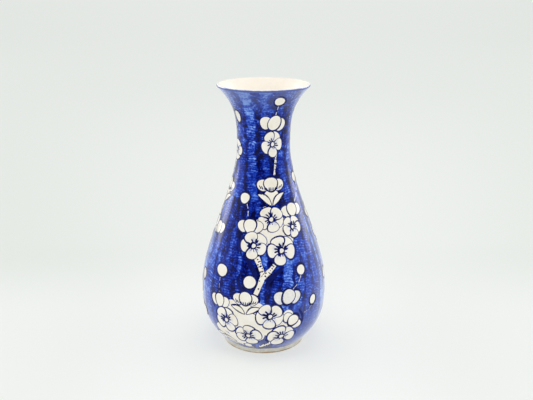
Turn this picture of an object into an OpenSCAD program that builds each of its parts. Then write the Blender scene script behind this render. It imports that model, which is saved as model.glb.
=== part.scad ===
// Glazed pottery vase: a pear-shaped bottle with a narrow throat and a flared
// mouth, standing on a low foot ring. It is one fired piece, built up in coats:
// bare clay, a pale glaze over it, and a film of brushed cobalt on the outside.
// Origin at the middle of the foot, +Z up, millimetres.

/* [Outline] */
// Overall height
height = 260; // [240:1:280]
// Outer radius of the foot ring
foot_r = 41; // [38:0.5:44]
// Height of the foot ring
foot_h = 5; // [4.6:0.1:7]
// Widest radius, at the belly
belly_r = 61.6; // [56:0.2:66]
// Height of the widest place
belly_z = 64; // [58:1:72]
// Narrowest radius, at the throat
throat_r = 25.4; // [23:0.2:30]
// Height of the narrowest place
throat_z = 203; // [190:1:212]
// Largest radius of the flared mouth
mouth_r = 44; // [38:0.5:50]

/* [Curve] */
// Slope of the wall where it leaves the foot, from level
foot_slope = 42; // [35:1:55]
// Slope of the wall where it ends in the lip, from level
lip_slope = 44; // [35:1:55]
// Fullness of the wall above the foot
foot_pull = 31; // [24:1:34]
// Fullness of the belly below its widest place
belly_pull_down = 17; // [12:1:24]
// Fullness of the belly above its widest place
belly_pull_up = 36; // [28:1:44]
// Length of the neck's straightness below the throat
throat_pull_down = 42; // [30:1:50]
// Length of the neck's straightness above the throat
throat_pull_up = 23; // [16:1:28]
// Sweep of the flare below the lip
lip_pull = 24; // [16:1:28]

/* [Walls] */
// Wall thickness at the foot
foot_wall = 7; // [6:0.5:8]
// Wall thickness at the belly
belly_wall = 5; // [4:0.5:6]
// Wall thickness at the throat
throat_wall = 4; // [3.5:0.25:5]
// Wall thickness at the lip
lip_wall = 2.8; // [2.4:0.1:3.4]
// Thickness of the clay floor
floor_t = 6; // [5:0.5:8]

/* [Coats] */
// Thickness of the pale glaze
glaze_t = 0.4; // [0.3:0.05:0.6]
// Thickness of the cobalt film
cobalt_t = 0.2; // [0.15:0.05:0.3]
// Bare clay left at the foot's edge by wiping the glaze away
bare_edge = 1.3; // [0.8:0.1:2]
// Height at which the cobalt stops above the table
cobalt_z = 6; // [5.5:0.1:8]

/* [Foot] */
// Width of the foot ring, seen from below
foot_w = 7.5; // [6:0.5:10]
// Bevel on the foot ring's two lower edges
foot_bevel = 0.8; // [0.4:0.1:1]

/* [Hidden] */
$fn = 96;

clay = "tan";
bare_clay = "peru";
cream = "oldlace";
pale_grey = "gainsboro";
cobalt = "royalblue";

lower_steps = 14;  // cone bands from the foot to the belly
middle_steps = 26; // cone bands from the belly to the throat
upper_steps = 18;  // cone bands from the throat to the lip
lip_steps = 8;     // bands round the lip's edge

coats_t = glaze_t + cobalt_t; // what lies outside the clay
lip_e = lip_wall / 2;         // radius of the rounded lip

// The lip's rounded edge is centred half a wall inside the outline's end, and
// its crest and its widest place give the vase its height and its mouth radius.
lip_end = [
    mouth_r - lip_e + lip_e * sin(lip_slope),
    height - lip_e - lip_e * cos(lip_slope)
];

// ---- outline ----------------------------------------------------------------

function along(angle) = [cos(angle), sin(angle)];
function bezier(p, t) =
    pow(1 - t, 3) * p[0] + 3 * pow(1 - t, 2) * t * p[1]
    + 3 * (1 - t) * t * t * p[2] + t * t * t * p[3];
function heading(p, t) =
    pow(1 - t, 2) * (p[1] - p[0]) + 2 * (1 - t) * t * (p[2] - p[1]) + t * t * (p[3] - p[2]);
function outward(v) = [v[1], -v[0]] / norm(v);
function mix(a, b, t) = a + (b - a) * (t * t * (3 - 2 * t));

foot_top = [foot_r, foot_h];
belly = [belly_r, belly_z];
throat = [throat_r, throat_z];

lower = [foot_top, foot_top + foot_pull * along(foot_slope), belly - [0, belly_pull_down], belly];
middle = [belly, belly + [0, belly_pull_up], throat - [0, throat_pull_down], throat];
upper = [throat, throat + [0, throat_pull_up], lip_end - lip_pull * along(lip_slope), lip_end];

// Each station of the outline: its point, its outward normal and the wall there.
function stations(curve, steps, wall_a, wall_b, first) = [
    for (i = [first:steps])
        let (t = i / steps)
        [bezier(curve, t), outward(heading(curve, t)), mix(wall_a, wall_b, t)]
];
outline = concat(
    stations(lower, lower_steps, foot_wall, belly_wall, 0),
    stations(middle, middle_steps, belly_wall, throat_wall, 1),
    stations(upper, upper_steps, throat_wall, lip_wall, 1)
);

// The outline sunk by a depth below the outer face, or by the whole wall less
// a cover that lies on the inner face.
function sunk(depth) = [for (s = outline) s[0] - s[1] * depth];
function lining(cover) = [for (s = outline) s[0] - s[1] * (s[2] - cover)];
function turned(points) = [for (i = [len(points) - 1:-1:0]) points[i]];

// Half a turn round the lip, from the outer face over the crest to the inner.
lip_mid = lip_end - lip_e * outward(along(lip_slope));
function lip_arc(r) = [
    for (i = [0:lip_steps]) lip_mid + r * along(lip_slope - 90 + 180 * i / lip_steps)
];

floor_z = foot_h + floor_t; // top of the clay floor
function above(points, z) = [for (p = points) if (p[1] > z) p];
// Radius of a rising outline at one height.
function radius_at(points, z) = lookup(z, [for (p = points) [p[1], p[0]]]);

// ---- clay -------------------------------------------------------------------

// The thrown wall and floor, from the foot's top to the rounded lip.
module clay_body() {
    outer = above(sunk(coats_t), foot_h);
    inner = above(lining(glaze_t), floor_z);
    color(clay) rotate_extrude() polygon(concat(
        [[0, foot_h], [radius_at(sunk(coats_t), foot_h), foot_h]],
        outer,
        lip_arc(lip_e - glaze_t),
        turned(inner),
        [[radius_at(lining(glaze_t), floor_z), floor_z], [0, floor_z]]
    ));
}

// The turned ring that the vase stands on, bevelled at both lower edges.
module foot_ring() {
    out = foot_r - glaze_t;
    color(bare_clay) rotate_extrude() polygon([
        [foot_r - foot_w + foot_bevel, 0],
        [out - foot_bevel, 0],
        [out, foot_bevel],
        [out, foot_h],
        [foot_r - foot_w, foot_h],
        [foot_r - foot_w, foot_bevel]
    ]);
}

// ---- coats ------------------------------------------------------------------

// The pale glaze over the outside, under the cobalt, from the foot to the lip.
module outer_glaze() {
    face = above(sunk(cobalt_t), foot_h);
    back = above(sunk(coats_t), foot_h);
    color(cream) rotate_extrude() polygon(concat(
        [[radius_at(sunk(coats_t), foot_h), foot_h], [radius_at(sunk(cobalt_t), foot_h), foot_h]],
        face,
        turned(back)
    ));
}

// The brushed cobalt film, stopping a little above the foot and at the lip.
module cobalt_coat() {
    face = above(sunk(0), cobalt_z);
    back = above(sunk(cobalt_t), cobalt_z);
    color(cobalt) rotate_extrude() polygon(concat(
        [[radius_at(sunk(cobalt_t), cobalt_z), cobalt_z], [radius_at(sunk(0), cobalt_z), cobalt_z]],
        face,
        turned(back)
    ));
}

// The cream lining over the floor and up the inside to the lip.
module inner_glaze() {
    face = above(lining(0), floor_z + glaze_t);
    back = above(lining(glaze_t), floor_z);
    color(cream) rotate_extrude() polygon(concat(
        [[0, floor_z], [radius_at(lining(glaze_t), floor_z), floor_z]],
        back,
        turned(face),
        [[radius_at(lining(0), floor_z + glaze_t), floor_z + glaze_t], [0, floor_z + glaze_t]]
    ));
}

// The roll of glaze over the lip, where the outer and inner coats meet.
module lip_glaze() {
    color(cream) rotate_extrude() polygon(concat(
        lip_arc(lip_e),
        turned(lip_arc(lip_e - glaze_t))
    ));
}

// The thin band of glaze on the foot ring's side, wiped away at its lower edge.
module foot_glaze() {
    color(pale_grey) rotate_extrude() polygon([
        [foot_r - glaze_t, bare_edge],
        [foot_r - glaze_t / 4, bare_edge],
        [foot_r, bare_edge + glaze_t],
        [foot_r, foot_h],
        [foot_r - glaze_t, foot_h]
    ]);
}

// The glaze under the floor, inside the foot ring.
module base_glaze() {
    color(pale_grey) translate([0, 0, foot_h - glaze_t])
        cylinder(r = foot_r - foot_w, h = glaze_t);
}

clay_body();
foot_ring();
outer_glaze();
cobalt_coat();
inner_glaze();
lip_glaze();
foot_glaze();
base_glaze();
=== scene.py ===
"""A glazed pottery vase: cobalt brushed over cream, with blossom sprays drawn in cream and ink.

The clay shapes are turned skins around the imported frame's own outline. The sprays are thin coats of
glaze and ink laid on that outline: each petal, stem and ink line is a closed sliver of mesh.
Places on the vase are (angle, height): degrees round the axis from the front, positive to the
viewer's right, and millimetres above the table. Shapes on the wall are in millimetres, u to the
right and v up the wall.
"""

import random
from math import atan2, cos, degrees, exp, hypot, pi, radians, sin

import bpy
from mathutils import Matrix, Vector
import numpy as np


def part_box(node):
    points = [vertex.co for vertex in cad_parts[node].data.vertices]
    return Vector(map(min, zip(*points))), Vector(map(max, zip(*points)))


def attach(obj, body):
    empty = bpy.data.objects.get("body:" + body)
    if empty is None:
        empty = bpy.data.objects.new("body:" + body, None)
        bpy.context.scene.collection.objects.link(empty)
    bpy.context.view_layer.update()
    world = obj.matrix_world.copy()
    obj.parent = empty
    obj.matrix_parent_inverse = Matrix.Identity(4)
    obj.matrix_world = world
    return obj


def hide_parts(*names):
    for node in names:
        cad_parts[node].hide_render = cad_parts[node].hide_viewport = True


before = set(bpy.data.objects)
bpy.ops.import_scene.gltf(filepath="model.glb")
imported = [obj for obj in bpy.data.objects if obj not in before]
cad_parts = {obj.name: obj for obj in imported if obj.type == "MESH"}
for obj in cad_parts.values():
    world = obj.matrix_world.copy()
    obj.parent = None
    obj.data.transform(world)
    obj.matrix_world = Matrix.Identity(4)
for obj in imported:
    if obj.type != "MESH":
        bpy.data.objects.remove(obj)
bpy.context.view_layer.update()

MM = 0.001
BODY = "root"


# ---- the vase's outline, read from the frame ----

def face_stations(node, faces_out):
    """(radius, height) in mm of a turned CAD node's outer or inner face, from the bottom up."""
    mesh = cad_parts[node].data
    found = {}
    for polygon in mesh.polygons:
        c, n = polygon.center, polygon.normal
        outward = (n.x * c.x + n.y * c.y) / max(hypot(c.x, c.y), 1e-6)
        corners = [mesh.vertices[i].co for i in polygon.vertices]
        tall = max(v.z for v in corners) - min(v.z for v in corners)
        if tall > 0.5 * MM and ((outward > 0.3) if faces_out else (outward < -0.3)):
            for v in corners:
                found.setdefault(round(v.z / MM, 2), []).append(hypot(v.x, v.y) / MM)
    points = [(max(found[z]), z) for z in sorted(found)]
    # the frame's bands are straight, so a point on the line between its neighbours isn't a station
    kept = [points[0]]
    for before, here, after in zip(points, points[1:], points[2:]):
        (ra, za), (rb, zb), (rc, zc) = before, here, after
        bow = abs(rb - ra - (rc - ra) * (zb - za) / (zc - za))
        if bow > 0.012 or kept[-1] != before:
            kept.append(here)
    return kept + [points[-1]]


def smooth_curve(points, step):
    """Resamples points with a Catmull-Rom curve, at about one point every step mm."""
    p = np.array(points, float)
    p = np.vstack([2 * p[0] - p[1], p, 2 * p[-1] - p[-2]])
    out = []
    for a, b, c, d in zip(p, p[1:], p[2:], p[3:]):
        count = max(1, int(round(np.linalg.norm(c - b) / step)))
        for t in np.arange(count) / count:
            out.append(0.5 * (2 * b + (c - a) * t + (2 * a - 5 * b + 4 * c - d) * t * t
                              + (3 * b - a - 3 * c + d) * t ** 3))
    return np.array(out + [p[-2]])


def unit(vectors):
    """Rows of (a, b) brought to length 1."""
    return vectors / np.maximum(np.hypot(vectors[:, 0], vectors[:, 1]), 1e-6)[:, None]


class Outline:
    """The vase's outer face: radius, height and outward normal at a distance s mm up the wall."""

    def __init__(self, stations):
        curve = smooth_curve(stations, 0.5)
        run = np.hypot(*np.diff(curve, axis=0).T)
        self.s = np.concatenate([[0], np.cumsum(run)])
        self.r, self.z = curve.T
        slope = np.gradient(curve, self.s, axis=0)
        wide = np.ones(9) / 9
        smooth = [np.convolve(np.pad(k, 4, "edge"), wide, "valid") for k in slope.T]
        slope = unit(np.stack(smooth, 1))
        self.nr, self.nz = slope[:, 1], -slope[:, 0]
        self.length = self.s[-1]

    def at(self, s):
        return tuple(np.interp(s, self.s, table) for table in (self.r, self.z, self.nr, self.nz))

    def s_at(self, z):
        return float(np.interp(z, self.z, self.s))


foot_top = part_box("foot_ring")[1].z / MM
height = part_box("lip_glaze")[1].z / MM
stations = face_stations("cobalt_coat", True)
first, second = stations[0], stations[3]
lead = (first[1] - foot_top) / (second[1] - first[1])
stations.insert(0, (first[0] - (second[0] - first[0]) * lead, foot_top))
wall = Outline(stations)


def wobble(theta, z):
    """How far the thrown wall stands off the true round, in mm; none at the foot or the lip."""
    fade = np.clip((z - 9) / 25, 0, 1) * np.clip((height - 8 - z) / 25, 0, 1)
    waves = (0.45 * np.sin(2 * theta + 1.3 + 0.009 * z) + 0.3 * np.sin(3 * theta - 0.7 + 0.016 * z)
             + 0.25 * np.sin(5 * theta + 2.0 - 0.03 * z))
    return 0.3 * fade * waves


# ---- meshes ----

def turned(theta, r, z, nr, nz):
    """Points in metres and normals, for angles in radians and radii and heights in mm."""
    right, front = np.sin(theta), -np.cos(theta)
    return (np.stack([r * right, r * front, z + 0 * theta], -1) * MM,
            np.stack([nr * right, nr * front, nz + 0 * theta], -1))


def on_wall(theta, s, lift):
    """Points and normals on the vase for angles in radians, s and lift in mm."""
    r, z, nr, nz = wall.at(s)
    return turned(theta, r + wobble(theta, z) + nr * lift, z + nz * lift, nr, nz)


def add_object(name, data):
    thing = bpy.data.objects.new(name, data)
    bpy.context.scene.collection.objects.link(thing)
    return thing


def make_piece(name, points, normals, faces, material, slot, replaces=()):
    mesh = bpy.data.meshes.new(name)
    mesh.from_pydata([tuple(p) for p in points], [], faces)
    mesh.polygons.foreach_set("use_smooth", [True] * len(faces))
    mesh.validate()
    mesh.normals_split_custom_set_from_vertices([tuple(n) for n in normals])
    mesh.materials.append(material)
    piece = add_object(name, mesh)
    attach(piece, BODY)
    if replaces:
        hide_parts(*replaces)
    return piece


def set_attribute(piece, name, values):
    attribute = piece.data.attributes.new(name, "FLOAT", "POINT")
    attribute.data.foreach_set("value", np.asarray(values, np.float32))


def grid_faces(rows, columns, first=0, flip=False, closed=False):
    """Quads of a sleeve of rows, each closed round its columns, or of a ring of rows if closed."""
    faces = []
    for i in range(rows if closed else rows - 1):
        low, high = first + i * columns, first + (i + 1) % rows * columns
        for j in range(columns):
            k = (j + 1) % columns
            quad = (low + j, low + k, high + k, high + j)
            faces.append(quad[::-1] if flip else quad)
    return faces


def angles(count):
    return np.arange(count) * 2 * pi / count


def turned_skin(name, loop, segments, material, slot, replaces=(), bend=None):
    """Turns a closed loop of (radius, height, normal_r, normal_z) round the axis.

    The loop runs up the outer face and down the inner one. bend(theta, r, z) moves a point.
    """
    theta = angles(segments)
    rows = []
    for r, z, nr, nz in loop:
        if bend:
            r, z = bend(theta, r, z)
        rows.append(turned(theta, r, z, nr, nz))
    points, normals = (np.concatenate(part) for part in zip(*rows))
    faces = grid_faces(len(loop), segments, closed=True)
    return make_piece(name, points, normals, faces, material, slot, replaces)


# ---- node helpers ----

def linear(r, g, b):
    """Screen colour, 0 to 255, as the scene-linear RGBA that a shader takes."""
    return (*(c / 255 / 12.92 if c <= 10 else ((c / 255 + 0.055) / 1.055) ** 2.4
              for c in (r, g, b)), 1)


def operator(kind, swapped=False):
    """A Python operator on Values, as a math node."""
    return lambda a, b: a.nodes.math(kind, *((b, a) if swapped else (a, b)))


class Value:
    """A node's output. Sums and products of values are math nodes."""

    def __init__(self, nodes, socket):
        self.nodes, self.socket = nodes, socket

    __add__, __radd__ = operator("ADD"), operator("ADD", True)
    __sub__, __rsub__ = operator("SUBTRACT"), operator("SUBTRACT", True)
    __mul__, __truediv__ = operator("MULTIPLY"), operator("DIVIDE")


class Nodes:
    """A short way to write the node tree of a material or a world."""

    def __init__(self, owner, space="Object"):
        owner.use_nodes = True
        self.owner, self.tree = owner, owner.node_tree
        self.tree.nodes.clear()
        self.place = self.value("TexCoord", out=space)
        self.xyz = [Value(self, k) for k in self.add("SeparateXYZ", (self.place,)).outputs]

    def add(self, kind, inputs=(), **settings):
        """inputs are constants or Values, in the node's order or by name."""
        node = self.tree.nodes.new("ShaderNode" + kind)
        for key, value in settings.items():
            setattr(node, key, value)
        for key, value in inputs.items() if isinstance(inputs, dict) else enumerate(inputs):
            if isinstance(value, Value):
                self.tree.links.new(value.socket, node.inputs[key])
            else:
                node.inputs[key].default_value = value
        return node

    def value(self, kind, inputs=(), out=0, **settings):
        return Value(self, self.add(kind, inputs, **settings).outputs[out])

    def math(self, operation, *values):
        return self.value("Math", values, operation=operation)

    def ramp(self, value, low, high, out_low=0.0, out_high=1.0):
        """Smooth step of value from low..high to out_low..out_high."""
        return self.value("MapRange", (value, low, high, out_low, out_high),
                          interpolation_type="SMOOTHSTEP")

    def noise(self, scale, detail=2.0, roughness=0.5):
        return self.value("TexNoise", {
            "Vector": self.place, "Scale": scale, "Detail": detail, "Roughness": roughness})

    def chance(self, x, y, z=0.0):
        """A random number from 0 to 1 that is fixed for each x, y, z.

        Whole numbers name a column or a stroke, and the half ones tell one use from another.
        """
        spot = self.value("CombineXYZ", (x, y, z))
        return self.value("TexWhiteNoise", {"Vector": spot}, noise_dimensions="3D")

    def reach(self):
        """Distance from the vase's axis, in metres."""
        x, y = self.xyz[:2]
        return self.math("SQRT", x * x + y * y)

    def attribute(self, name):
        return self.value("Attribute", out="Fac", attribute_name=name)

    def colours(self, value, *stops):
        """The colour at value along stops of (position, (r, g, b))."""
        node = self.add("ValToRGB", (value,))
        elements = node.color_ramp.elements
        elements.remove(elements[-1])
        elements[0].position = stops[0][0]
        elements[0].color = linear(*stops[0][1])
        for position, rgb in stops[1:]:
            elements.new(position).color = linear(*rgb)
        return Value(self, node.outputs[0])

    def blend(self, share, a, b):
        return self.value("Mix", {0: share, 6: a, 7: b}, out=2, data_type="RGBA")

    def bump(self, height, strength=0.08, distance=0.0006):
        return self.value("Bump", {"Strength": strength, "Distance": distance, "Height": height})

    def surface(self, colour, inputs):
        """Ends a material with a shader that has these named inputs, and returns the material."""
        shader = self.value("BsdfPrincipled", {"Base Color": colour, **inputs})
        self.add("OutputMaterial", (shader,))
        return self.owner


def new_material(name):
    return Nodes(bpy.data.materials.new(name))


# ---- materials ----

COLUMNS = 12          # brushed columns round the neck
BELLY_COLUMNS = 30    # and round the belly
COLUMN_SHIFT = 0.3    # how far round the columns start, as a share of one
STROKE_MM = 2.5       # height of one brush stroke
THIN_GLOSS = (0.16, 0.19, 0.28, 1)    # the glaze's gloss seen square on; at the edges it is full
GLOSSY = {"Roughness": 0.14, "IOR": 1.6, "Specular Tint": THIN_GLOSS}


def cobalt_brushwork():
    """Ladders of short level strokes up the wall, pale where thin, with loaded dark paint between.

    The belly's columns run into the neck's wider ones on the shoulder, at uneven heights.
    """
    n = new_material("cobalt_brushwork")
    x, y, z = n.xyz
    turn = n.math("ARCTAN2", x, y * -1) * (1 / (2 * pi))
    sway = (n.noise(9, 1) - 0.5) * 0.9
    pairs = turn * COLUMNS + sway + COLUMN_SHIFT
    pair = n.math("FLOORED_MODULO", n.math("FLOOR", pairs), COLUMNS)
    merge = 0.128 + n.chance(pair, 5.5) * 0.035
    count = 1.0 + n.math("LESS_THAN", z, merge) * (BELLY_COLUMNS / COLUMNS - 1)
    across = pairs * count
    column = n.math("FLOORED_MODULO", n.math("FLOOR", across), count * COLUMNS) + count * 56
    offset = n.math("FRACT", across) - 0.5
    own = n.chance(column, 3.5)
    tone = n.chance(column, 11.5)
    # strokes bow and tilt a little, and each column starts at its own height
    sweep = offset * n.ramp(own, 0, 1, -0.5, 1.2) + offset * offset * 1.6
    ripple = n.noise(70, 2) * 2.4 + n.noise(330, 2) * 0.7
    up = n.attribute("rise") * (1 / STROKE_MM) + own * 17 + ripple + sweep
    stroke = n.math("FLOOR", up)
    within = n.math("FRACT", up)
    load = n.chance(column, stroke, 2.5)
    # the pale middle of a column swells and narrows up the wall
    patchy = n.ramp(n.noise(30, 2, 0.6), 0.36, 0.64)
    low_down = n.ramp(z, 190 * MM, 120 * MM)
    swell = patchy * 0.20 + tone * 0.24 + load * 0.10 + low_down * 0.10 - 0.03
    lean = (n.chance(column, stroke, 7.5) - 0.5) * 0.12
    fray = (n.noise(240, 3, 0.6) - 0.5) * 0.22
    dark_side = n.ramp(n.math("ABSOLUTE", offset + lean) - (swell + fray), -0.09, 0.09)
    lap = n.ramp(n.math("ABSOLUTE", within - 0.5), 0.12, 0.5)
    lap = lap * n.ramp(n.noise(48, 2), 0.38, 0.62, 0.15, 1.15)
    lap = lap * n.ramp(z, 20 * MM, 80 * MM, 0.7, 1.1)
    mottle = n.noise(520, 3, 0.65) - 0.5
    blotch = n.noise(200, 3, 0.6) - 0.5
    drift = n.noise(26, 2) - 0.5
    # some columns were brushed thin and stay pale, and others are nearly covered
    cover = n.ramp(n.chance(column, 19.5), 0.2, 0.9)
    pale = -0.02 + cover * 0.26 + load * 0.22 + lap * 0.30
    dark = 0.62 + load * 0.18 + lap * 0.14
    depth = pale + dark_side * (dark - pale)
    # loaded paint is spotted, and more so on the neck, and thin paint is smooth
    spots = (mottle * 1.5 + blotch * 1.5) * (0.65 + dark_side * 0.5)
    spots = spots * n.ramp(z, 165 * MM, 205 * MM, 1, 1.3)
    # the paint is loaded heavier round the shoulder and the motifs, and the blue darkens just above
    # the foot
    near_lip = n.ramp(z, (height - 30) * MM, (height - 6) * MM)
    shoulder = n.ramp(z, 110 * MM, 135 * MM) * n.ramp(z, 200 * MM, 180 * MM)
    # near_lip also pales the blue by the lip, as painted reflection of the pale room
    depth = (depth + spots + drift * 0.5 + n.attribute("halo") * 0.22 + near_lip * -0.16
             + shoulder * 0.09 + n.ramp(z, 13 * MM, 8 * MM, 0, 0.3))
    colour = n.colours(
        depth, (0.0, (136, 173, 244)), (0.2, (79, 120, 219)), (0.4, (29, 66, 186)),
        (0.6, (12, 38, 147)), (0.8, (4, 16, 106)), (1.0, (3, 4, 52)))
    # painted reflection: the blue is greyed towards lavender at the lip and low on the belly,
    # standing in for the pale room mirrored in the flare and the floor mirrored under the belly
    near_foot = n.ramp(z, 70 * MM, 24 * MM) * n.ramp(z, 9 * MM, 16 * MM)
    reflection_greyed = n.blend(near_lip * 0.44 + near_foot * 0.6, colour, linear(98, 110, 164))
    relief = depth * 0.4 + n.noise(260, 2) * 0.6
    # painted sheen: a lavender sheen brightens the cobalt towards its edges in place of the pale room
    # mirrored there, and it spreads wider on the right of the belly, where that light is brighter
    right_sheen_spread = n.ramp(x, 10 * MM, 45 * MM) * n.ramp(z, 160 * MM, 115 * MM)
    right_sheen_spread = right_sheen_spread * n.ramp(z, 30 * MM, 60 * MM, 0.4, 1.0)
    return n.surface(reflection_greyed, {
        **GLOSSY, "Normal": n.bump(relief), "Sheen Weight": 0.9, "Sheen Tint": (0.80, 0.84, 1.0, 1),
        "Sheen Roughness": 0.3 + right_sheen_spread * 0.14})


def cream_glaze():
    """Cream glaze, faintly warm in patches, with a blue wash where the piece says so."""
    n = new_material("cream_petal_glaze")
    warmth = n.noise(90, 3) * 0.75 + n.noise(700, 2) * 0.25
    colour = n.colours(
        warmth, (0.3, (252, 249, 240)), (0.55, (247, 241, 226)), (0.75, (240, 230, 210)))
    streak = n.ramp(n.noise(420, 2), 0.3, 0.7, 0.35, 1.0)
    colour = n.blend(n.attribute("wash") * streak, colour, linear(126, 152, 222))
    return n.surface(colour, {**GLOSSY, "Normal": n.bump(n.noise(260, 2))})


def ink():
    """Cobalt ink lines: nearly black where the brush was loaded, bluer where it ran dry."""
    n = new_material("cobalt_ink")
    tone = n.attribute("wash") * 0.75 + n.noise(380, 2) * 0.45
    colour = n.colours(
        tone, (0.15, (9, 10, 60)), (0.5, (22, 34, 112)), (0.8, (64, 84, 170)), (1, (112, 132, 206)))
    return n.surface(colour, {**GLOSSY, "Normal": n.bump(n.noise(260, 2))})


def plain_glaze(name, light, dark, roughness, grain=120, blue_below=None):
    """A glaze of one tone that pools and thins a little, with cobalt up to a height in mm."""
    n = new_material(name)
    cloud = n.noise(grain, 4, 0.6)
    colour = n.colours(cloud, (0.3, light), (0.7, dark))
    if blue_below:
        ragged = n.xyz[2] * 1000 + cloud * 0.8 - 0.4
        thin = n.colours(n.ramp(ragged, blue_below - 0.35, blue_below + 0.35),
                         (0.0, (80, 98, 168)), (0.55, (156, 166, 204)), (1.0, light))
        outside = n.ramp(n.reach(), 0.0426, 0.0429)
        colour = n.blend(outside, colour, thin)
    return n.surface(colour, {"Roughness": roughness, "Normal": n.bump(n.noise(300, 2))})


def fired_clay(name, light, dark):
    """Bare clay with turning lines, fine grit and small stains."""
    n = new_material(name)
    grit = n.noise(900, 4, 0.7)
    colour = n.colours(grit * 0.5 + n.noise(70, 3) * 0.5, (0.35, light), (0.68, dark))
    lines = n.math("SINE", (n.reach() + n.xyz[2]) * 9000)
    return n.surface(colour, {"Roughness": 0.82, "Specular IOR Level": 0.3,
                              "Normal": n.bump(grit * 0.7 + lines * 0.15, 0.35, 0.0004)})


COBALT = cobalt_brushwork()
CREAM = cream_glaze()
INK = ink()
LINING = plain_glaze("lining_glaze", (255, 249, 237), (251, 242, 227), 0.34, 60)
LIP = plain_glaze("lip_glaze_cream", (255, 250, 240), (250, 242, 228), 0.2, 260, height - 0.6)
EDGE = plain_glaze("edge_glaze", (244, 241, 230), (232, 228, 216), 0.2, 260)
FOOT_GLAZE = plain_glaze("foot_glaze_grey", (222, 219, 208), (190, 187, 175), 0.26, 180)
CLAY = fired_clay("bare_clay", (186, 160, 124), (140, 112, 80))
BISCUIT = fired_clay("biscuit_clay", (204, 186, 158), (178, 156, 126))


# ---- painting on the wall ----

GROUND_LIFT = 0.0      # the cobalt's own face
GROUND_BACK = -0.15    # and the back of its skin
RIM_LIFT = 0.018       # the dark brushing round a motif
PAD_LIFT = 0.02        # the plain cream under a cluster
STEM_LIFT = 0.038      # stems, which run under every motif
PAINT_LIFT = 0.05      # first coat of a motif above the cobalt
LAYER = 0.009          # each further coat
INK_LIFT = 0.0045      # an ink line above its coat
DAB_LIFT = 0.0075      # a dab of ink over the lines
UNDERSIDE = -0.12      # how deep a motif's slivers sit in the wall
TIGHT_RADIUS = 40      # a wall below this radius, the neck's, wants shorter faces
PETAL_OUT = 7.2        # how far a blossom's petals are from its middle
PETAL_LONG = 10.6
PETAL_WIDE = 12.2
rng = random.Random(27)
motif_spots = []       # (angle, s, reach) in radians and mm, for the dark brushing round motifs


class Coat:
    """Collects slivers of one colour, in wall coordinates, and makes them one piece."""

    def __init__(self, name, material, slot):
        self.name, self.material, self.slot = name, material, slot
        self.theta, self.s, self.lift, self.wash, self.faces = [], [], [], [], []

    def add(self, spot, sheet, lift, wash):
        """Adds points at (u, v) round a spot, and returns the number of the first."""
        first = len(self.theta)
        theta, s = spot.wall_place(sheet[:, 0], sheet[:, 1])
        self.theta += list(theta)
        self.s += list(s)
        self.lift += list(lift)
        self.wash += list(wash)
        return first

    def patch(self, spot, outline, centre, lift, wash=None, rings=6):
        """A filled closed shape. outline is a list of (u, v) round the (u, v) centre.

        The rings keep its face on the round wall, so that nothing below shows through it.
        """
        edge, mid = np.array(outline, float), np.array(centre, float)
        ahead = np.roll(edge, -1, 0)
        if np.sum(edge[:, 0] * ahead[:, 1] - edge[:, 1] * ahead[:, 0]) < 0:
            edge = edge[::-1]
        count = len(edge)
        sides = [(j, (j + 1) % count) for j in range(count)]
        firsts = []
        for under, shares in ((False, np.linspace(1, 0, rings + 1)[:-1] ** 0.9), (True, [1.0])):
            sheet = np.vstack([mid + (edge - mid) * k for k in shares] + [mid[None, :]])
            tint = [wash(u, v) for u, v in sheet] if wash else [0.0] * len(sheet)
            first = self.add(spot, sheet, [UNDERSIDE if under else lift] * len(sheet), tint)
            firsts.append(first)
            self.faces += grid_faces(len(shares), count, first, flip=under)
            tip = first + len(sheet) - 1
            last = tip - count
            for j, k in sides:
                face = (last + j, last + k, tip)
                self.faces.append(face[::-1] if under else face)
        top, low = firsts
        self.faces += [(top + k, top + j, low + j, low + k) for j, k in sides]

    def line(self, spot, path, width, lift, wash=0.0, closed=False, cross=3):
        """A brushed line along (u, v) points. width(t) is in mm for t from 0 to 1."""
        p = np.array(path, float)
        ahead = np.roll(p, -1, 0) - np.roll(p, 1, 0)
        if not closed:
            ahead[0], ahead[-1] = p[1] - p[0], p[-1] - p[-2]
        ahead = unit(ahead)
        side = np.stack([-ahead[:, 1], ahead[:, 0]], 1)
        count = len(p)
        t = np.linspace(0, 1, count)
        half = np.array([max(width(k), 0.04) / 2 for k in t])
        tint = [wash(k) for k in t] if callable(wash) else [wash] * count
        spans = np.linspace(-1, 1, cross)
        rows = np.stack([p + side * (half * k)[:, None] for k in spans], 1)
        crown = np.tile(lift - 0.004 * np.abs(spans), count)
        top = self.add(spot, rows.reshape(-1, 2), crown, np.repeat(tint, cross))
        under = rows[:, [0, -1]].reshape(-1, 2)
        low = self.add(spot, under, [UNDERSIDE] * len(under), np.repeat(tint, 2))
        rings = [[top + i * cross + k for k in range(cross)] + [low + 2 * i + 1, low + 2 * i]
                 for i in range(count)]
        for here, after in zip(rings, rings[1:] + rings[:1] if closed else rings[1:]):
            for k in range(len(here)):
                m = (k + 1) % len(here)
                self.faces.append((here[k], after[k], after[m], here[m]))
        if not closed:
            self.faces += [tuple(rings[0]), tuple(rings[-1][::-1])]

    def finish(self):
        theta, s = np.array(self.theta), np.array(self.s)
        points, normals = on_wall(theta, np.clip(s, 0.3, wall.length), np.array(self.lift))
        piece = make_piece(self.name, points, normals, self.faces, self.material, self.slot)
        set_attribute(piece, "wash", self.wash)


class Spot:
    """A place z mm up the wall, with (u, v) mm round it, turned by tilt degrees clockwise."""

    def __init__(self, angle, z, tilt=0.0, size=1.0, narrow=1.0):
        self.theta = radians(angle)
        self.s = wall.s_at(z)
        self.tilt = -radians(tilt)
        self.size, self.narrow = size, narrow

    def wall_place(self, u, v):
        u, v = np.asarray(u) * self.size, np.asarray(v) * self.size
        level, steep = cos(self.tilt), sin(self.tilt)
        across, up = (u * level - v * steep) * self.narrow, u * steep + v * level
        s = self.s + up
        return self.theta + across / wall.at(s)[0], s


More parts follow.
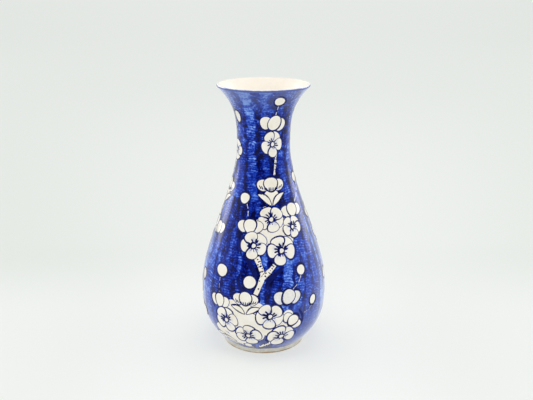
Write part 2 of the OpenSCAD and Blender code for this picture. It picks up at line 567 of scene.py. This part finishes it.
class Brush:
    """Paints one spray at a time, in cream coats and ink."""

    def start(self, name):
        self.cream = Coat(name + "_petals", CREAM, "cream_glaze")
        self.ink = Coat(name + "_ink", INK, "cobalt_glaze")
        self.motifs = []       # [angle, s, reach, lift of its top coat]

    def begin(self, spot, reach, centre=(0.0, 0.0)):
        """Starts a motif: its coats go above those of the motifs that it overlaps."""
        theta, s = (float(k[0]) for k in spot.wall_place([centre[0]], [centre[1]]))
        reach *= spot.size
        radius = float(wall.at(s)[0])
        lift = PAINT_LIFT
        for angle, s_there, reach_there, top in self.motifs:
            if hypot((angle - theta) * radius, s_there - s) < reach + reach_there:
                lift = max(lift, top)
        self.motifs.append([theta, s, reach, lift])
        motif_spots.append((theta, s, reach))

    def next_lift(self):
        self.motifs[-1][3] += LAYER
        return self.motifs[-1][3]

    def finish(self):
        self.cream.finish()
        self.ink.finish()


brush = Brush()


def egg(u, v, length, width, heading, fat=0.18, count=30, rough=0.02):
    """Points round an egg at (u, v): its long axis, and fuller end, point to heading degrees."""
    a = radians(heading)
    phase = rng.random() * 6.28
    out = []
    for t in angles(count):
        along = length / 2 * cos(t)
        across = width / 2 * sin(t) * (1 + fat * cos(t))
        grow = 1 + rough * sin(3 * t + phase)
        out.append((u + (along * cos(a) - across * sin(a)) * grow,
                    v + (along * sin(a) + across * cos(a)) * grow))
    return out


def pressure(thin, thick, peak=None):
    """A brush line's width from thin to thick and back, thickest at peak."""
    middle = rng.uniform(0.2, 0.8) if peak is None else peak
    return lambda t: thin + (thick - thin) * exp(-((t - middle) / 0.27) ** 2)


def petal(spot, u, v, length, width, heading, wash=None, fat=0.18, thin=0.55, thick=1.2, dry=0.15,
          rim=1.4):
    """A filled petal with its ink outline, over a rim of ink where cobalt was brushed up to it."""
    a = rng.uniform(0, 6.28)
    around = egg(u + 0.35 * cos(a), v + 0.35 * sin(a), length + rim, width + rim, heading, fat, 20)
    brush.ink.patch(spot, around, (u, v), RIM_LIFT, lambda p, q: 0.12, rings=3)
    for _ in range(2):
        if rng.random() < 0.6:
            hug = egg(u, v, length + 2.2, width + 2.2, heading, fat)
            first, run = rng.randrange(len(hug)), rng.randrange(7, 14)
            arc = [hug[(first + k) % len(hug)] for k in range(run)]
            width_there = pressure(0.3, rng.uniform(1.4, 2.4))
            brush.ink.line(spot, arc, width_there, RIM_LIFT + 0.004, rng.uniform(0, 0.3))
    count, rings = (44, 9) if float(wall.at(spot.s)[0]) < TIGHT_RADIUS else (30, 6)
    outline = egg(u, v, length, width, heading, fat, count)
    lift = brush.next_lift()
    brush.cream.patch(spot, outline, (u, v), lift, wash, rings)
    phase = rng.random()
    swell = lambda t: thin + (thick - thin) * (0.5 + 0.5 * cos(2 * pi * (t - phase))) ** 1.5
    faint = lambda t: dry + 0.42 * (0.5 - 0.5 * cos(2 * pi * (t - phase)))
    brush.ink.line(spot, outline, swell, lift + INK_LIFT, faint, closed=True)


def blossom(angle, z, size=1.0, turn=0.0, dark=0.5, headings=(118, 48, 192, -12, -90),
            narrow=1.0, smudges=()):
    """An open five-petalled blossom: petals, blue wash, stamens and a ringed eye.

    The petals are laid from the back one to the front one. dark says how heavily the eye is inked,
    and smudges are the headings of thick dabs of ink beside it.
    """
    spot = Spot(angle, z, turn, size, narrow)
    brush.begin(spot, 12.5)

    def wash(u, v):
        streaks = 0.6 + 0.4 * sin(5 * atan2(v, u) + turn)
        return max(0.0, 1 - hypot(u, v) / 8.5) ** 0.8 * streaks

    def curl(a, start, end, count, bend):
        return [(d * cos(a + bend * d), d * sin(a + bend * d))
                for d in np.linspace(start, end, count)]

    for heading in headings:
        a = radians(heading + rng.uniform(-5, 5))
        reach = PETAL_OUT * rng.uniform(0.95, 1.05)
        long, wide = PETAL_LONG * rng.uniform(0.95, 1.05), PETAL_WIDE * rng.uniform(0.93, 1.06)
        if heading == headings[-1]:
            wide *= 0.92
        petal(spot, reach * cos(a), reach * sin(a), long, wide, degrees(a), wash,
              fat=0.22, thin=0.6, thick=1.5, dry=rng.uniform(0.0, 0.35))
    lift = brush.next_lift()
    eye = egg(0, 0, 5.2, 4.8, 60, 0, 16)
    brush.cream.patch(spot, eye, (0, 0), lift, lambda u, v: 0.12, rings=2)
    ring = egg(0, 0, 5.4, 5.0, 60, 0, 22, 0.05)
    brush.ink.line(spot, ring, pressure(1.0, 1.2 + 1.3 * dark, 0.3), lift + INK_LIFT, closed=True)
    for heading in smudges:
        dab = curl(radians(heading), 2.2, 5.2, 5, 0.05)
        brush.ink.line(spot, dab, lambda t: 0.9 + 1.5 * sin(pi * t) ** 0.7, lift + DAB_LIFT)
    stamens = 12
    for k in range(stamens):
        a = 2 * pi * (k + rng.uniform(-0.25, 0.25)) / stamens
        if rng.random() < 0.12:
            continue
        low = sin(a) < -0.5
        path = curl(a, 2.8, rng.uniform(4.6, 5.6) if low else rng.uniform(5.2, 7.2), 4, 0.04)
        bold = 0.2 if low else 0.4 + 0.8 * dark
        brush.ink.line(spot, path, lambda t: 0.55 + bold * sin(2.6 * t), lift + INK_LIFT + 0.002,
                       0.45 if low else rng.uniform(0.0, 0.3))


def side_blossom(angle, z, width=12.5, tall=14.0, tilt=0.0, leafy=False, cool=0.0, cap=0.0,
                 lean=0.0, drop=1.5):
    """A blossom seen from the side: a full middle petal over two that show at its sides.

    A leafy one has stamens and two leaves below, and drop says how far down the leaves meet. lean
    tips the middle petal clockwise, and cap is how heavily its top is inked.
    """
    spot = Spot(angle, z, tilt)
    brush.begin(spot, 12, (0, -tall * 0.4) if leafy else (0, 0))
    pale = lambda u, v: cool + max(0.0, 0.25 * (-v / tall))
    for side in (-1, 1):
        petal(spot, side * width * rng.uniform(0.54, 0.6), -0.8, tall * 0.84, width * 0.84,
              90 - side * 18, pale, fat=0.16)
    if leafy:
        lift = brush.next_lift()
        cup = (0, -tall * 0.92)
        brush.cream.patch(spot, egg(*cup, 15, 12, -90, -0.5), cup, lift)
    foot = tall * 0.5
    base = lambda u, v: cool + (max(0.0, (-v - foot * 0.35) / foot) * 0.8 if leafy else 0.0)
    petal(spot, lean * 0.03, 0, tall, width, 90 - lean, base, fat=0.12, thin=0.8, thick=1.6 + cap,
          dry=0.0)
    lift = brush.next_lift()
    if leafy:
        stamens = 11
        for k in range(stamens):
            u = (k - stamens // 2) * width * 0.14 + rng.uniform(-0.3, 0.3)
            low = -foot * 0.84 + 0.022 * u * u
            rise = rng.uniform(0.7, 1.1)
            path = [(u * (1 + 0.05 * j), low + j * rise) for j in range(4)]
            brush.ink.line(spot, path, lambda t: 1.3 - 0.7 * t, lift + DAB_LIFT)
        for side in (-1, 1):
            tip = (side * width * (1.75 - drop / 2), -tall * 0.62)
            leaf(spot, tip, (side * 0.5, -tall * drop), 5.6, -side)
    if cap:
        arc = [(width * 0.5 * sin(a), tall * 0.53 * cos(a)) for a in np.linspace(-1.3, 0.7, 12)]
        brush.ink.line(spot, arc, pressure(0.4, 1.0 + cap, 0.45), lift + DAB_LIFT)


def bud(angle, z, width=10.5, tall=11.5, tilt=0.0, cool=0.0):
    """A round closed bud with a dark rim."""
    spot = Spot(angle, z, tilt)
    brush.begin(spot, 6.5)
    petal(spot, 0, 0, tall, width, 90, lambda u, v: cool, fat=0.08, thin=0.8, thick=1.6, dry=0.0,
          rim=2.6)


def leaf(spot, tip, base, width, bend=0.0):
    """A lance leaf from tip to base, edged in ink."""
    a, b = np.array(tip, float), np.array(base, float)
    along = b - a
    side = np.array([-along[1], along[0]]) / np.linalg.norm(along)
    left, right = [], []
    steps = 11
    for k in range(steps + 1):
        t = k / steps
        swell = width / 2 * sin(pi * t) ** 0.8
        mid = a + along * t + side * bend * 1.6 * sin(pi * t)
        left.append(mid + side * swell)
        right.append(mid - side * swell)
    centre = a + along * 0.5 + side * bend * 1.6
    lift = brush.next_lift()
    brush.cream.patch(spot, left + right[-2:0:-1], centre, lift, rings=3)
    brush.ink.line(spot, left, pressure(0.7, 2.0, 0.25), lift + INK_LIFT)
    brush.ink.line(spot, right, pressure(0.7, 1.4, 0.6), lift + INK_LIFT, 0.05)


def wall_path(places, step=1.2):
    """Smooth (u, v) points from a Spot at the first place through (angle, height) places."""
    spot = Spot(*places[0])
    points = []
    for angle, z in places:
        s = wall.s_at(z)
        points.append(((radians(angle) - spot.theta) * float(wall.at(s)[0]), s - spot.s))
    return spot, smooth_curve(points, step)


def stem(*places, width=1.0):
    """A thin bluish stem, left bare in places, with a broken dark line down one side."""
    spot, path = wall_path(places)
    run = max(5, int(len(path) * rng.uniform(0.4, 0.6)))
    for start in range(0, len(path) - 3, run):
        piece = path[start:start + run - (1 if width < 2 else 0)]
        if len(piece) > 2:
            brush.cream.line(spot, piece, lambda t: width * (0.8 + 0.3 * sin(9 * t)), STEM_LIFT,
                             0.6 if width < 2 else 0.2)
    side = path - (width * 0.62, 0)
    brush.ink.line(spot, side, pressure(0.3, 0.9 if width < 2 else 1.3), STEM_LIFT + 0.004, 0.1)
    if width > 2:
        for k in range(1, len(path) - 1, 2):
            (u, v), way = path[k], rng.uniform(-0.4, 0.6) * width
            dot = [(u + way - 0.5, v + 0.4), (u + way, v), (u + way + 0.5, v - 0.3)]
            brush.ink.line(spot, dot, lambda t: 0.7, STEM_LIFT + 0.004, 0.2)


def stroke(*places, width=3.0, tone=0.15):
    """A broad dark stroke of the brush, as the ground was painted up to a motif."""
    spot, path = wall_path(places)
    shape = lambda t: width * sin(pi * (0.08 + 0.84 * t)) ** 0.6
    brush.ink.line(spot, path, shape, RIM_LIFT + 0.004 * rng.random(), tone, cross=5)


def branch(*places, width=5.0, taper=0.0):
    """A cream branch, edged in ink and marked with dots and short dashes."""
    spot, p = wall_path(places)
    brush.begin(spot, 14, p[len(p) // 2])
    lift = brush.next_lift()
    shape = lambda t: (width - taper * t) * (1 + 0.09 * sin(11 * t + 1) + 0.05 * sin(23 * t))
    brush.cream.line(spot, p, shape, lift, cross=7)
    ahead = unit(np.gradient(p, axis=0))
    side = np.stack([-ahead[:, 1], ahead[:, 0]], 1)
    half = np.array([shape(t) / 2 for t in np.linspace(0, 1, len(p))])[:, None]
    for way, heavy in ((-1, 1.1), (1, 0.6)):
        edge = p + side * half * way * 1.02
        brush.ink.line(spot, edge, pressure(0.35, heavy), lift + INK_LIFT, 0.05)
    for k in range(2, len(p) - 2, 2):
        for way in (-0.55, 0.1, 0.6):
            if rng.random() < 0.55:
                continue
            at = p[k] + side[k] * half[k] * way
            turn = ahead[k] * rng.uniform(0.1, 0.9) + side[k] * rng.uniform(-0.6, 0.6)
            thick = pressure(0.6, rng.uniform(1.1, 1.8), 0.5)
            brush.ink.line(spot, [at - turn, at, at + turn], thick, lift + INK_LIFT + 0.002, 0.05)
    theta, s = spot.wall_place(p[:, 0], p[:, 1])
    for k in range(0, len(p), 5):
        motif_spots.append((float(theta[k]), float(s[k]), width * 1.1))


def pads(*places):
    """Plain cream patches, by angle, height and width, that join the blossoms of a cluster."""
    for angle, z, wide in places:
        outline = [(wide / 2 * cos(a) * (1 + 0.05 * sin(5 * a)), wide / 2 * sin(a))
                   for a in angles(28)]
        lift = PAD_LIFT + 0.001 * rng.randrange(12)
        brush.cream.patch(Spot(angle, z), outline, (0, 0), lift, lambda u, v: 0.03)


# ---- the sprays ----

def front_neck():
    stroke((18, 218), (25, 216), (33, 217), width=2.8)
    stroke((4, 216), (2, 208), (5, 200), width=3.0, tone=0.2)
    stem((25, 243), (23, 233))
    bud(25, 248, 11.5, 10, tilt=30)
    side_blossom(21, 227, 13, 15.5, tilt=8, lean=24)
    blossom(19, 207, headings=(64, 116, 205, -4, -90), narrow=0.84)


def front_shoulder():
    stroke((12, 196), (15, 188), (13, 180), width=2.6)
    stroke((-2, 176), (-5, 168), (-3, 158), width=2.8, tone=0.25)
    stroke((-38, 161), (-37, 153), (-30, 149), width=2.4)
    stem((27, 198), (25, 190), (20, 177), width=2.1)
    side_blossom(13, 170, 13.5, 13.5, leafy=True)
    stem((-25, 152), (-22, 146), (-21, 139))
    bud(-30, 157, 10.5, 11, tilt=14)
    stem((79, 168), (76, 165), (64, 157), (51, 150), width=1.8)
    bud(73, 172, 9, 10)


def front_cluster():
    pads((-8, 127, 16), (2, 124, 20), (14, 122, 18), (24, 124, 16), (4, 146, 10), (30, 120, 10),
         (-2, 134, 14), (22, 134, 14))
    stroke((-19, 108), (-13, 99), (-8, 90), (-10, 80), width=5.0)
    stroke((20, 97), (12, 91), (5, 85), (2, 78), width=4.4)
    stroke((35, 152), (33, 142), (28, 148), width=3.4)
    stroke((-24, 124), (-27, 116), (-23, 106), width=2.6, tone=0.25)
    stroke((33, 118), (34, 110), (29, 101), width=3.2)
    side_blossom(44, 145, 12.5, 13.5)
    blossom(10, 139, headings=(-15, 120, 45, 200, -80))
    blossom(38, 130, 0.86, turn=-6, dark=0.9, smudges=(100, 20, 250))
    side_blossom(-17, 133, 12.5, 14)
    branch((-7, 106), (-3, 97), (-1, 90), (-3, 82), (-7, 72), width=5)
    branch((14, 103), (9, 97), (4, 92), (-1, 87), width=4.6)
    blossom(-11, 116, 1.04, dark=0.7, headings=(45, 180, 115, -20, -95), smudges=(165, 190))
    blossom(19, 111, 1.13, dark=0.8, headings=(45, 110, 175, -15, -100), smudges=(115, 85, 225, 15))


def front_foot():
    pads((-30, 49, 18), (-20, 46, 20), (-12, 42, 22), (-4, 38, 18), (-24, 36, 16), (4, 36, 16),
         (13, 37, 16), (-5, 58, 12), (-29, 58, 12), (20, 34, 14), (-30, 26, 14), (-6, 28, 14),
         (22, 50, 10), (-46, 28, 12), (-42, 21, 11), (-33, 19, 12), (-24, 18, 10), (-36, 32, 14),
         (-48, 19, 9), (-38, 16, 9), (-28, 14, 8), (-18, 12, 7), (-32, 14, 8))
    stroke((-21, 91), (-24, 84), (-20, 76), (-13, 74), width=3.4)
    stroke((13, 61), (17, 54), (18, 47), width=3.2)
    stroke((4, 36), (10, 40), (18, 40), (25, 36), width=3.0)
    stroke((-52, 70), (-53, 60), (-50, 50), width=2.8, tone=0.3)
    stroke((33, 53), (37, 46), (38, 38), width=3.0, tone=0.25)
    stem((-44, 84), (-44, 72), (-43, 66), width=0.7)
    bud(-43, 89, 14, 12.5, tilt=12)
    bud(-13, 83, 12.5, 13, tilt=48)
    stem((37, 86), (34, 81), (26, 74))
    bud(38, 91, 10, 10.5, tilt=10)
    side_blossom(-43, 60, 11.5, 14.5)
    side_blossom(-16, 67, 12.5, 14, leafy=True, drop=1.12)
    side_blossom(22, 68, 13.5, 16, tilt=4, cool=0.22, cap=0.8, lean=16)
    stem((49, 53), (44, 50), (37, 47))
    bud(50, 58, 9, 10.5, tilt=15)
    branch((9, 20), (3, 15), (-5, 11), width=4.2)
    blossom(-15, 27, 1.06, dark=0.6, headings=(150, 80, 10, 205, -70))
    blossom(17, 26, 1.12, headings=(40, 105, -10, 175, -110))
    blossom(-36, 41, 1.06, dark=0.7, headings=(70, 205, 130, 15, -65), smudges=(110, 190))
    blossom(5.5, 50, 1.08, dark=1.0, headings=(-15, 190, 40, 120, -93))
    side_blossom(27, 43, 11.5, 12.5, tilt=42, cap=0.5)
    lens = Spot(-50, 20.5)
    brush.begin(lens, 7)
    leaf(lens, (-8, -1.5), (7, 1.5), 5.0)
    lens = Spot(-38, 17.5)
    brush.begin(lens, 6)
    leaf(lens, (-6, 3.5), (6, -3.5), 4.6)
    stem((-34, 13.5), (-24, 10.5), (-12, 8.5), width=2.1)


def left_spray():
    """Down the left side, where the front view just catches its edge."""
    bud(-58, 232, 8.5, 12, tilt=-12, cool=0.15)
    stem((-66, 226), (-70, 218), (-72, 210))
    blossom(-74, 199, 0.84, turn=-20, headings=(118, 192, -90, 48, -25))
    stem((-74, 190), (-80, 180), (-84, 170), width=2.4)
    side_blossom(-80, 165, 12, 13, tilt=8, leafy=True)
    pads((-92, 140, 16))
    blossom(-100, 146, 0.92, turn=10)
    side_blossom(-69, 124, 11.5, 13, tilt=-14)
    blossom(-90, 128, 0.96, turn=-8, dark=0.7)
    branch((-88, 118), (-92, 104), (-90, 94), (-96, 82), (-94, 72), width=4.6, taper=-0.8)
    branch((-104, 108), (-99, 99), (-92, 93), width=3.8)
    blossom(-107, 116, 0.95, turn=14, dark=0.4)
    bud(-73, 76, 10, 11.5, tilt=-6, cool=0.25)
    bud(-116, 92, 10.5, 11, tilt=20)
    stem((-116, 87), (-113, 78), (-110, 70))
    pads((-92, 54, 20), (-102, 50, 20), (-82, 46, 18), (-96, 38, 20), (-108, 40, 16))
    side_blossom(-110, 64, 12.5, 13.5, leafy=True)
    side_blossom(-88, 57, 11.5, 12.5, tilt=-30, cap=0.4)
    blossom(-95, 58, dark=0.8)
    blossom(-84, 38, 0.95, turn=-14)
    blossom(-105, 38, turn=18, dark=0.6)
    bud(-72, 38, 9, 10.5, tilt=-24)


def back_spray():
    """A full spray on the back, from the lip to the foot."""
    stem((186, 246), (184, 240), (182, 234))
    bud(187, 248, 11, 9.5, tilt=-30)
    bud(156, 236, 9, 11.5, tilt=12)
    side_blossom(181, 228, 12, 15, tilt=-16)
    blossom(178, 208, 0.84, turn=8)
    bud(210, 206, 9, 10.5, tilt=-20)
    stem((176, 199), (179, 188), (184, 178), width=2.5)
    side_blossom(186, 171, 13.5, 13.5, leafy=True)
    stem((222, 160), (218, 150), (211, 141), width=1.7)
    bud(223, 164, 9.5, 10.5, tilt=-12)
    bud(158, 166, 9.5, 10.5, tilt=16)
    stem((158, 161), (161, 150), (165, 141), width=1.7)
    pads((172, 130, 18), (182, 126, 20), (193, 124, 18), (178, 142, 12), (202, 126, 14))
    side_blossom(164, 136, 12.5, 14)
    blossom(184, 142, 0.98)
    side_blossom(207, 138, 12.5, 13.5, tilt=14)
    branch((176, 108), (180, 97), (184, 90), (181, 80), (178, 72), width=5)
    branch((201, 104), (194, 97), (188, 92), (183, 87), width=4.4)
    blossom(173, 117, turn=12, dark=0.7)
    blossom(204, 113, 1.05, turn=-6, dark=0.9)
    blossom(189, 121, 0.9, turn=-16, dark=0.4)
    bud(152, 96, 11.5, 12.5, tilt=-8)
    stem((152, 90), (153, 80), (155, 70))
    bud(199, 84, 11.5, 12, tilt=24)
    bud(224, 90, 10, 11, tilt=-14)
    stem((223, 85), (217, 79), (209, 73))
    pads((160, 48, 20), (170, 46, 22), (180, 44, 24), (190, 46, 20), (200, 44, 18), (166, 34, 18),
         (178, 32, 18), (190, 33, 18), (204, 54, 12), (168, 58, 14))
    side_blossom(157, 62, 12.5, 14.5)
    side_blossom(177, 66, 13, 14, leafy=True)
    side_blossom(207, 66, 14, 13.5, cool=0.2, cap=0.5)
    blossom(174, 27, 0.95, turn=-18)
    blossom(200, 28, 0.95, turn=12, dark=0.6)
    blossom(157, 40, 0.95, turn=22, dark=0.7)
    blossom(189, 49, 1.05, turn=4, dark=0.9)
    side_blossom(211, 44, 11.5, 12.5, tilt=36, cap=0.5)
    bud(226, 58, 9, 10.5, tilt=15)


def right_spray():
    """A lighter spray between the front one and the back one."""
    bud(84, 240, 9, 11, tilt=20)
    side_blossom(104, 214, 11.5, 13.5, tilt=-12)
    bud(79, 75, 10, 12, tilt=8, cool=0.2)
    stem((104, 206), (106, 194), (103, 184), width=2.2)
    blossom(103, 176, 0.88, turn=10)
    stem((104, 166), (108, 154), (106, 144), width=2.2)
    bud(126, 158, 10, 11, tilt=14)
    stem((125, 152), (121, 142), (114, 133), width=1.7)
    side_blossom(92, 138, 11.5, 13, tilt=-18)
    blossom(108, 134, 0.95, turn=-10, dark=0.6)
    blossom(96, 115, 0.98, turn=16, dark=0.8)
    branch((98, 105), (103, 96), (109, 88), (107, 78), (112, 66), width=4.6, taper=-0.8)
    branch((124, 104), (118, 96), (111, 89), width=3.8)
    side_blossom(126, 112, 12.5, 13.5, tilt=20, leafy=True)
    bud(130, 80, 10.5, 11.5, tilt=10)
    pads((104, 50, 20), (114, 48, 20), (94, 46, 16), (108, 36, 20), (122, 44, 14))
    side_blossom(94, 58, 12.5, 13.5, tilt=-20)
    blossom(112, 55, 1.05, turn=6, dark=0.7)
    side_blossom(128, 56, 12, 13, tilt=26, cap=0.5)
    blossom(99, 36, 0.95, turn=-16)
    blossom(119, 35, 0.98, turn=14, dark=0.8)
    bud(80, 34, 9, 10, tilt=-20)


for name, paint in (("front_neck", front_neck), ("front_shoulder", front_shoulder),
                    ("front_cluster", front_cluster), ("front_foot", front_foot),
                    ("left", left_spray), ("back", back_spray), ("right", right_spray)):
    brush.start(name)
    paint()
    brush.finish()


# ---- the turned coats ----

def cobalt_ground():
    """The brushed cobalt, with an uneven lower edge."""
    segments, rows = 256, 150
    theta = angles(segments)
    low = (0.9 + 0.35 * np.sin(7 * theta + 1) + 0.25 * np.sin(17 * theta)
           + 0.2 * np.sin(31 * theta + 2))
    high = wall.length - 0.02
    s = low + (high - low) * np.linspace(0, 1, rows)[:, None]
    both = np.vstack([s, s[::-1]]).ravel()
    around = np.tile(theta, 2 * rows)
    lift = np.repeat([GROUND_LIFT, GROUND_BACK], s.size)
    points, normals = on_wall(around, both, lift)
    normals[s.size:] *= -1
    faces = grid_faces(2 * rows, segments, closed=True)
    piece = make_piece("cobalt_ground", points, normals, faces, COBALT, "cobalt_glaze",
                       ("cobalt_coat",))
    halo = np.zeros(around.size)
    r_here = wall.at(both)[0]
    for angle, s0, reach in motif_spots:
        turn = (around - angle + pi) % (2 * pi) - pi
        away = np.hypot(turn * r_here, both - s0)
        halo = np.maximum(halo, np.clip(1.35 - away / (reach + 3), 0, 1))
    set_attribute(piece, "halo", halo)
    set_attribute(piece, "rise", both)


def cream_undercoat():
    r, z, nr, nz = wall.at(np.linspace(0.0, wall.length, 110))
    outer, inner = (list(zip(r + nr * lift, z + nz * lift, nr * way, nz * way))
                    for lift, way in ((-0.08, 1), (-0.5, -1)))
    turned_skin("cream_undercoat", outer + inner[::-1], 200, EDGE, "cream_glaze", ("outer_glaze",),
                lambda theta, r, z: (r + wobble(theta, z), z))


def lip_roll():
    """The rounded lip, from the end of the outline over the crest to the inside."""
    r, z, nr, nz = (float(k) for k in wall.at(wall.length))
    edge = (height - z) / (1 - nz)
    mid_r, mid_z = r - nr * edge, z - nz * edge
    turns = np.linspace(0, pi, 17) + atan2(nz, nr)
    loop = []
    for size, way, order in ((edge, 1, turns), (edge - 0.4, -1, turns[::-1])):
        loop += [(mid_r + size * cos(a), mid_z + size * sin(a), way * cos(a), way * sin(a))
                 for a in order]
    turned_skin("lip_roll", loop, 220, LIP, "cream_glaze", ("lip_glaze",))


def mouth_lining():
    """The cream lining of the whole inside, over the floor."""
    curve = smooth_curve(face_stations("inner_glaze", False), 2.0)
    slope = unit(np.gradient(curve, axis=0))
    floor_z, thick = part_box("inner_glaze")[0].z / MM, 0.4
    floor_r = [0.01] + [k * curve[0][0] / 8 for k in range(1, 8)]
    face = [(r, floor_z + thick, 0.0, 1.0) for r in floor_r]
    face += [(p[0], p[1], -t[1], t[0]) for p, t in zip(curve, slope)]
    back = [(r, floor_z, 0.0, -1.0) for r in floor_r]
    back += [(p[0] + t[1] * thick, p[1] - t[0] * thick, t[1], -t[0]) for p, t in zip(curve, slope)]
    turned_skin("mouth_lining", back + face[::-1], 180, LINING, "cream_glaze", ("inner_glaze",))


def foot_pieces():
    """The foot ring and the thin grey glaze on its side, wiped unevenly at its lower edge."""
    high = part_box("foot_ring")[1]
    ring_r, ring_h = high.x / MM, high.z / MM
    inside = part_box("base_glaze")[1].x / MM
    bevel = 0.8
    corners = [(ring_r - bevel, 0.0), (ring_r - bevel * 0.3, bevel * 0.3), (ring_r, bevel),
               (ring_r, ring_h), (inside, ring_h), (inside, bevel),
               (inside + bevel * 0.3, bevel * 0.3), (inside + bevel, 0.0)]
    loop = []
    for k, (r, z) in enumerate(corners):
        before, after = corners[k - 1], corners[(k + 1) % len(corners)]
        ahead = (after[0] - before[0], after[1] - before[1])
        loop.append((r, z, ahead[1] / hypot(*ahead), -ahead[0] / hypot(*ahead)))
    ring = turned_skin("foot_ring_turned", loop, 180, CLAY, "bare_clay", ("foot_ring",))
    bevelled = ring.modifiers.new("soft_edges", "BEVEL")
    bevelled.width, bevelled.segments = 0.2 * MM, 2

    low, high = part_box("foot_glaze")
    out_r, low_z = high.x / MM, low.z / MM

    def wiped(theta, r, z):
        sink = (0.25 * np.sin(5 * theta + 0.4) + 0.2 * np.sin(13 * theta)
                + 0.12 * np.sin(29 * theta + 1))
        return r, z + sink * (z < low_z + 1.2)

    loop = [(ring_r - 0.1, low_z, 0.6, -0.8), (out_r - 0.1, low_z + 0.2, 0.9, -0.4),
            (out_r, low_z + 0.7, 1, 0), (out_r, (low_z + ring_h) / 2 + 0.4, 1, 0),
            (out_r + 0.02, ring_h + 0.35, 1, 0.0), (ring_r - 0.2, ring_h + 0.35, -1, 0)]
    turned_skin("foot_band", loop, 200, FOOT_GLAZE, "pale_glaze", ("foot_glaze",), wiped)


cobalt_ground()
cream_undercoat()
lip_roll()
mouth_lining()
foot_pieces()
for name, material in (("clay_body", BISCUIT), ("base_glaze", FOOT_GLAZE)):
    node_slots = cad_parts[name].data.materials
    node_slots.clear()
    node_slots.append(material)


# ---- stage ----

def studio_floor():
    n = new_material("studio_paper")
    across, away = n.xyz[:2]
    # the light pools round the vase and to its right, and falls off behind and in the front corners
    aside = n.math("ABSOLUTE", across)
    off_pool = n.math("ABSOLUTE", across + -0.06)
    beside = n.ramp(off_pool / (away + 0.7), 0.06, 0.46)
    beside = beside + n.ramp(away, 0.5, 1.8, 0, 0.6) * (1.0 - beside)
    far = n.ramp(away, 0.04, 0.25) * (0.45 + beside * 0.55)
    far = far + n.ramp(aside, 0.09, 0.20, 0, 0.35) * n.ramp(away, 0.30, 0.05)
    tone = n.blend(far, linear(166, 167, 165), linear(138, 143, 136))
    mesh = bpy.data.meshes.new("studio_floor")
    reach = 14.0
    corners = [(-reach, -reach, 0), (reach, -reach, 0), (reach, reach, 0), (-reach, reach, 0)]
    mesh.from_pydata(corners, [], [(0, 1, 2, 3)])
    # painted light: the paper glows a little, which lightens the vase's shadow on it
    mesh.materials.append(n.surface(tone, {
        "Roughness": 0.9, "Specular IOR Level": 0.1,
        "Emission Color": (0.98, 1.0, 0.975, 1), "Emission Strength": 0.53}))
    add_object("studio_floor", mesh)


def room():
    """Soft daylight from behind and both sides, and an even pale backdrop for the camera."""
    world = bpy.context.scene.world = bpy.data.worlds.new("studio")
    n = Nodes(world, "Generated")
    x, y = n.xyz[:2]
    sides = n.ramp(n.math("ABSOLUTE", x), 0.45, 0.85, 0.9, 1.55)
    strength = n.ramp(y, -0.9, -0.1, 0.12, 1.0) * sides
    light = n.value("Background", {"Color": (0.98, 0.985, 1.0, 1), "Strength": strength})
    seen = n.value("Background", {"Color": linear(229, 230, 230)})
    by_camera = n.value("LightPath", out="Is Camera Ray")
    n.add("OutputWorld", (n.value("MixShader", (by_camera, light, seen)),))


def soft_light(name, place, target, size, power, diffuse=True, glossy=True):
    data = bpy.data.lights.new(name, "AREA")
    data.shape, data.size, data.energy = "DISK", size, power
    lamp = add_object(name, data)
    lamp.location = place
    lamp.rotation_euler = (Vector(target) - lamp.location).to_track_quat("-Z", "Y").to_euler()
    lamp.visible_camera, lamp.visible_diffuse, lamp.visible_glossy = False, diffuse, glossy


def camera():
    data = bpy.data.cameras.new("camera")
    data.sensor_width, data.lens, data.clip_start = 36, 50.45, 0.02
    thing = add_object("camera", data)
    thing.location = (0.0028, -0.70, 0.360)
    thing.rotation_euler = (radians(90 - 17.02), 0, 0)
    bpy.context.scene.camera = thing


studio_floor()
room()
soft_light("overhead", (0.1, -0.2, 1.6), (0, 0, 0.1), 1.4, 2.5)
soft_light("front_fill", (0.0, -2.2, 1.1), (0, 0, 0.13), 2.0, 17, glossy=False)
for side in (-1, 1):
    soft_light("edge_light", (side * 2.6, 1.9, 0.9), (0, 0, 0.13), 2.6, 60, diffuse=False)
camera()
bpy.context.scene.view_settings.view_transform = "Standard"
